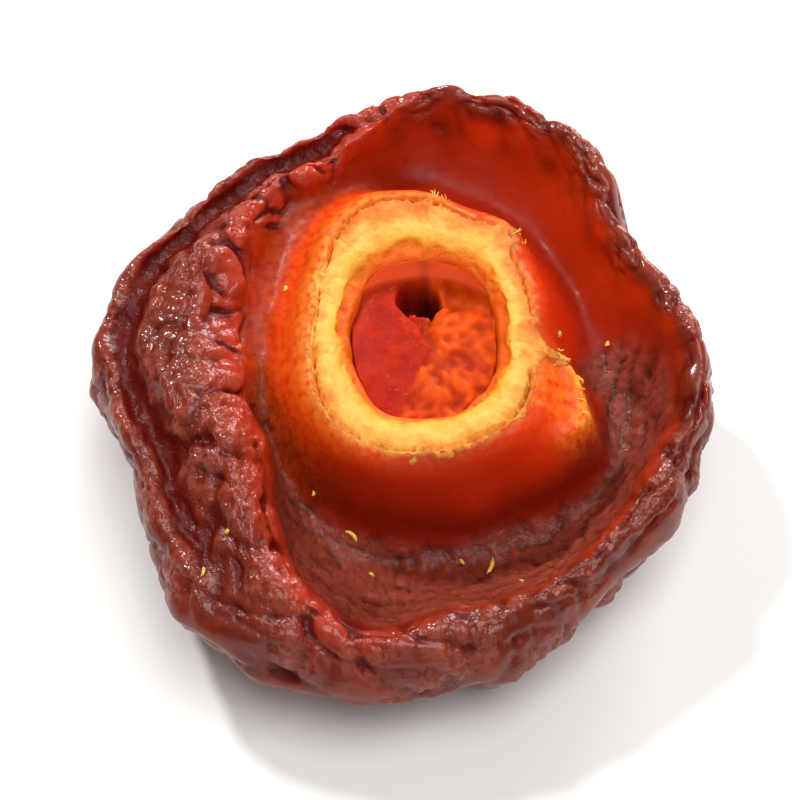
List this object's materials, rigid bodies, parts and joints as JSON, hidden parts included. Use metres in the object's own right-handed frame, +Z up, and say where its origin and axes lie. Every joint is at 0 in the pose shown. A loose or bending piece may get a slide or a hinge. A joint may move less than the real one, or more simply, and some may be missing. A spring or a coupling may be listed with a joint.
{
  "type": "preserved plum half",
  "caption": "Half of a candied, dried plum lying on its wrinkled skin: a puckered bowl of flesh with a folded rim, and the sawn stone standing in a mound with the kernel inside.",
  "frame": {"origin": "centre of the fruit's plan, on the surface that it lies on, at the level of the small flat spot of skin it rests on", "axes": "+Z up, out of the sawn face; +Y towards the high side of the rim, away from the broad valley beside the stone; +X towards the thin side of the rim, away from the broad folded one. A natural thing, with no symmetry"},
  "size_m": [0.038, 0.0408, 0.0122],
  "materials": {
    "flesh": null,
    "stone": "sawn woody plum stone, damp with syrup, pale yellow on the cut and orange inside",
    "kernel": null
  },
  "bodies": {
    "root": {"plum_flesh": "flesh", "stone_half": "stone", "kernel": "kernel"}
  },
  "joints": []
}
